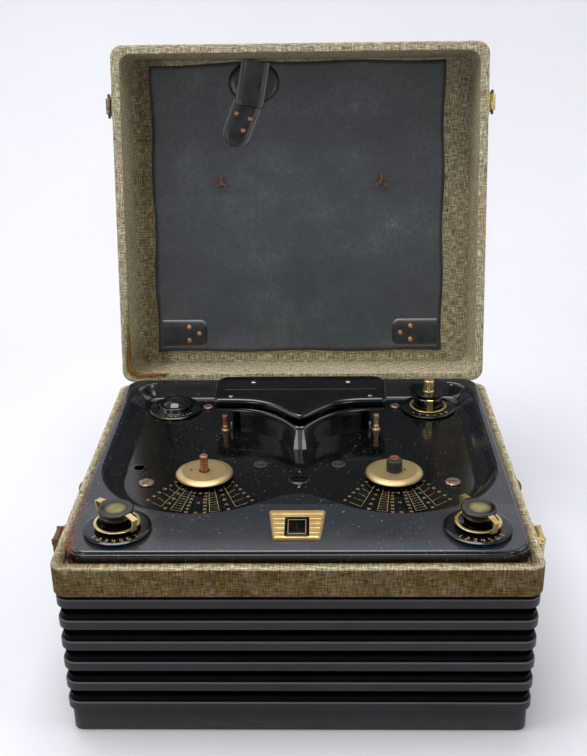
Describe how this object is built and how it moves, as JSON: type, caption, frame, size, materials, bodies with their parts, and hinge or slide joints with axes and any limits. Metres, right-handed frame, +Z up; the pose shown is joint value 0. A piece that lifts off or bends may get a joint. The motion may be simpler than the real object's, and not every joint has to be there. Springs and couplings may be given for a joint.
{
  "type": "tape recorder",
  "caption": "Portable open-reel tape recorder in a ribbed black case with a cloth-covered band and hinged lid; sunken deck with turntables, head block, dials and knobs.",
  "frame": {"origin": "middle of the base's underside, on the table", "axes": "+X to the right seen from the front, +Y from the front to the hinges, +Z up"},
  "size_m": [0.426, 0.5406, 0.5304],
  "materials": {
    "body_moulding": "satin",
    "tweed_cloth": "woven",
    "plywood": "matte",
    "deck_enamel": "gloss",
    "head_moulding": "gloss",
    "dial_black": "gloss",
    "knob_black": "gloss",
    "gilt_brass": "satin",
    "brass": "satin",
    "copper_alloy": "satin",
    "steel": "satin",
    "aluminium": "satin",
    "cast_iron": "matte",
    "rubber": "matte",
    "lens_glass": "gloss",
    "valve_glass": "gloss",
    "cone_paper": "matte",
    "leatherette": "satin",
    "strap_leather": "satin"
  },
  "bodies": {
    "case": {"base_shell": "body_moulding", "case_band": "tweed_cloth", "bottom_panel": "plywood", "bottom_screws": "steel", "deck_plate": "deck_enamel", "deck_screws": "steel", "deck_plugs": "rubber", "badge_plate": "gilt_brass", "head_cover": "head_moulding", "cover_screws": "steel", "front_shield": "head_moulding", "tape_guides": "copper_alloy", "tape_heads": "steel", "level_dial": "dial_black", "level_lens": "lens_glass", "output_dial": "dial_black", "tone_dial": "dial_black", "selector_dial": "dial_black", "shaft_bearings": "brass", "mechanism_plate": "steel", "plate_standoffs": "steel", "motor_body": "cast_iron", "drive_belt": "rubber", "amplifier_chassis": "aluminium", "valves": "valve_glass", "power_transformer": "cast_iron", "speaker_frame": "cast_iron", "speaker_cone": "cone_paper", "control_bodies": "aluminium", "latch_plates": "brass", "side_studs": "copper_alloy", "hinge_base_leaves": "copper_alloy", "hinge_pins": "steel"},
    "left_reel": {"left_turntable": "gilt_brass", "left_spindle": "copper_alloy"},
    "right_reel": {"right_turntable": "gilt_brass", "right_spindle": "copper_alloy", "spindle_cap": "rubber", "cap_screw": "brass"},
    "capstan": {"capstan_flywheel": "steel"},
    "motor": {"motor_pulley": "brass"},
    "pinch_arm": {"pinch_arm": "steel"},
    "pinch_roller": {"pinch_roller": "rubber"},
    "output_knob": {"output_knob": "knob_black"},
    "output_ring": {"output_ring": "brass"},
    "tone_knob": {"tone_knob": "knob_black"},
    "tone_ring": {"tone_ring": "brass"},
    "selector": {"selector_hub": "knob_black", "selector_shaft": "brass"},
    "selector_ring": {"selector_ring": "brass"},
    "speed_selector": {"speed_selector": "knob_black"},
    "left_hasp": {"left_hasp": "copper_alloy"},
    "right_hasp": {"right_hasp": "brass"},
    "lid": {"lid_shell": "tweed_cloth", "lid_liner": "leatherette", "liner_straps": "strap_leather", "strap_rivets": "copper_alloy", "reel_studs": "copper_alloy", "lid_catches": "copper_alloy", "hinge_lid_leaves": "copper_alloy"}
  },
  "joints": [
    {"name": "lid_hinge", "type": "hinge", "parent": "case", "child": "lid", "pos_m": [0, 0.1874, 0.1688], "axis": [1, 0, 0], "range_deg": [0, 103]},
    {"name": "left_reel_turn", "type": "hinge", "parent": "case", "child": "left_reel", "pos_m": [-0.09, -0.024, 0.1735], "axis": [0, 0, 1], "continuous": true},
    {"name": "right_reel_turn", "type": "hinge", "parent": "case", "child": "right_reel", "pos_m": [0.09, -0.024, 0.1735], "axis": [0, 0, 1], "continuous": true},
    {"name": "capstan_turn", "type": "hinge", "parent": "case", "child": "capstan", "pos_m": [0.02, 0.093, 0.1695], "axis": [0, 0, 1], "continuous": true},
    {"name": "motor_turn", "type": "hinge", "parent": "case", "child": "motor", "pos_m": [-0.058, 0.03, 0.1515], "axis": [0, 0, 1], "continuous": true},
    {"name": "pinch_swing", "type": "hinge", "parent": "case", "child": "pinch_arm", "pos_m": [-0.014, 0.072, 0.1715], "axis": [0, 0, 1], "range_deg": [0, 2.8]},
    {"name": "pinch_roller_turn", "type": "hinge", "parent": "pinch_arm", "child": "pinch_roller", "pos_m": [0.02, 0.079, 0.1715], "axis": [0, 0, 1], "continuous": true},
    {"name": "output_knob_turn", "type": "hinge", "parent": "case", "child": "output_knob", "pos_m": [-0.1525, -0.14, 0.1885], "axis": [0, 0, 1], "range_deg": [-150, 150]},
    {"name": "output_ring_turn", "type": "hinge", "parent": "case", "child": "output_ring", "pos_m": [-0.1525, -0.14, 0.1865], "axis": [0, 0, 1], "range_deg": [-45, 45]},
    {"name": "tone_knob_turn", "type": "hinge", "parent": "case", "child": "tone_knob", "pos_m": [0.1525, -0.14, 0.1885], "axis": [0, 0, 1], "range_deg": [-150, 150]},
    {"name": "tone_ring_turn", "type": "hinge", "parent": "case", "child": "tone_ring", "pos_m": [0.1525, -0.14, 0.1865], "axis": [0, 0, 1], "range_deg": [-45, 45]},
    {"name": "selector_turn", "type": "hinge", "parent": "case", "child": "selector", "pos_m": [0.1365, 0.1285, 0.1735], "axis": [0, 0, 1], "range_deg": [-60, 60]},
    {"name": "selector_ring_turn", "type": "hinge", "parent": "case", "child": "selector_ring", "pos_m": [0.1365, 0.1285, 0.1705], "axis": [0, 0, 1], "range_deg": [-60, 60]},
    {"name": "speed_turn", "type": "hinge", "parent": "case", "child": "speed_selector", "pos_m": [0, -0.026, 0.1675], "axis": [0, 0, 1], "range_deg": [0, 90]},
    {"name": "left_hasp_swing", "type": "hinge", "parent": "case", "child": "left_hasp", "pos_m": [-0.2095, -0.1215, 0.1645], "axis": [0, 1, 0], "range_deg": [0, 120]},
    {"name": "right_hasp_swing", "type": "hinge", "parent": "case", "child": "right_hasp", "pos_m": [0.2095, -0.1215, 0.1645], "axis": [0, -1, 0], "range_deg": [0, 120]}
  ],
  "couplings": [
    {"joint": "capstan_turn", "follows": "motor_turn", "ratio": 0.16667}
  ]
}
